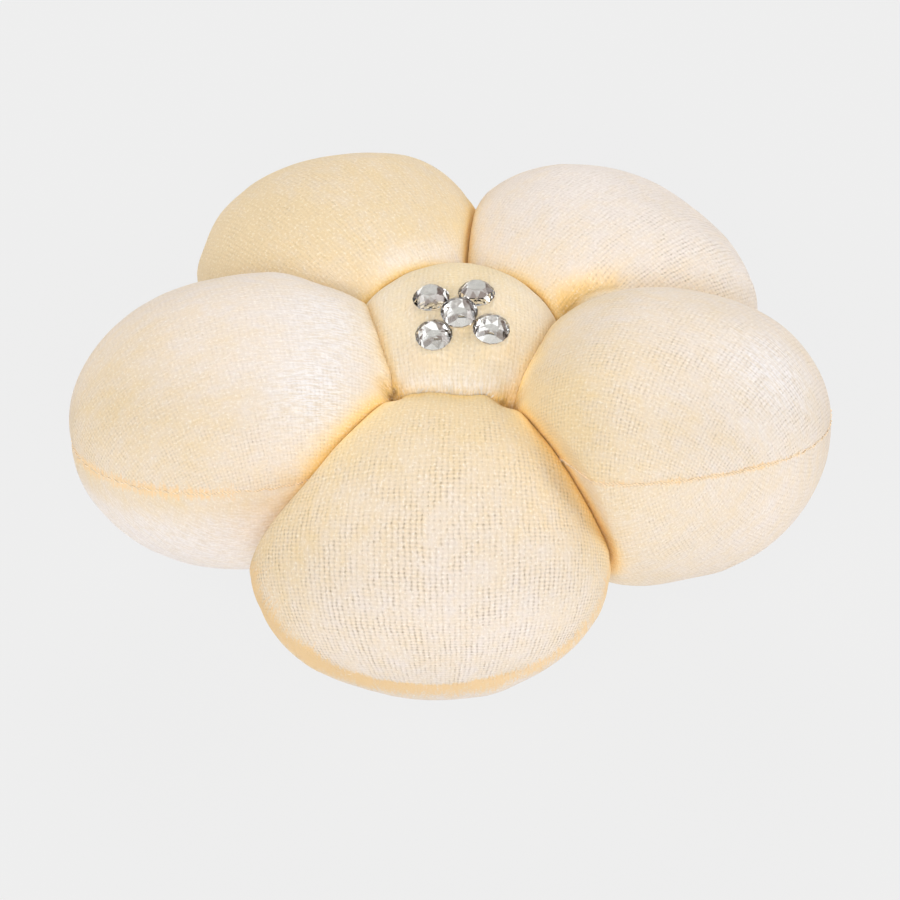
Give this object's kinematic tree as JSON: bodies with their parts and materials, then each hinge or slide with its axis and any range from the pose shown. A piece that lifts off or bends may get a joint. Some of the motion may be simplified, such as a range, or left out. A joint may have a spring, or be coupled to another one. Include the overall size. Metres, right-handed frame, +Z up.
{
  "type": "flower hair clip",
  "caption": "Stuffed velvet flower with plump petals round a covered button set with clear stones, sewn to a felt backing on a sprung hair clip.",
  "frame": {"origin": "on the resting plane, under the middle of the flower's outline", "axes": "+Z up out of the flower's face, +X along the clip towards its jaws, -Y towards the viewer in the picture"},
  "size_m": [0.0792, 0.0748, 0.0373],
  "materials": {
    "velvet": "short-pile stretch velvet, cream",
    "velvet_centre": "short-pile stretch velvet, warm cream",
    "filling": "white fibre filling",
    "thread": "twisted sewing thread",
    "felt": "pressed felt",
    "stone": "clear cut glass",
    "foil": "silver mirror foil",
    "aluminium": "pressed",
    "steel": "nickel-plated, bright",
    "spring_wire": "drawn spring wire"
  },
  "bodies": {
    "flower": {"petal_front_upper": "velvet", "petal_front_lower": "velvet", "petal_front_filling": "filling", "petal_front_seam": "thread", "petal_right_upper": "velvet", "petal_right_lower": "velvet", "petal_right_filling": "filling", "petal_right_seam": "thread", "petal_back_right_upper": "velvet", "petal_back_right_lower": "velvet", "petal_back_right_filling": "filling", "petal_back_right_seam": "thread", "petal_back_left_upper": "velvet", "petal_back_left_lower": "velvet", "petal_back_left_filling": "filling", "petal_back_left_seam": "thread", "petal_left_upper": "velvet", "petal_left_lower": "velvet", "petal_left_filling": "filling", "petal_left_seam": "thread", "gathering_thread": "thread", "button_cover": "velvet_centre", "button_pad": "filling", "button_shell": "aluminium", "button_back": "aluminium", "button_shank": "steel", "anchor_thread": "thread", "rhinestone_middle": "stone", "rhinestone_back_left": "stone", "rhinestone_back_right": "stone", "rhinestone_front_left": "stone", "rhinestone_front_right": "stone", "rhinestone_foils": "foil", "felt_backing": "felt", "felt_patch": "felt", "clip_upper_jaw": "steel", "clip_hinge_pin": "steel", "clip_spring": "spring_wire"},
    "lower_jaw": {"clip_lower_jaw": "steel"}
  },
  "joints": [
    {"name": "jaw_hinge", "type": "hinge", "parent": "flower", "child": "lower_jaw", "pos_m": [-0.006, 0, 0.004], "axis": [0, 1, 0], "range_deg": [0, 17], "stiffness_Nm_per_rad": 0.1, "springref_deg": -28.65, "deforming": ["clip_spring"]}
  ]
}
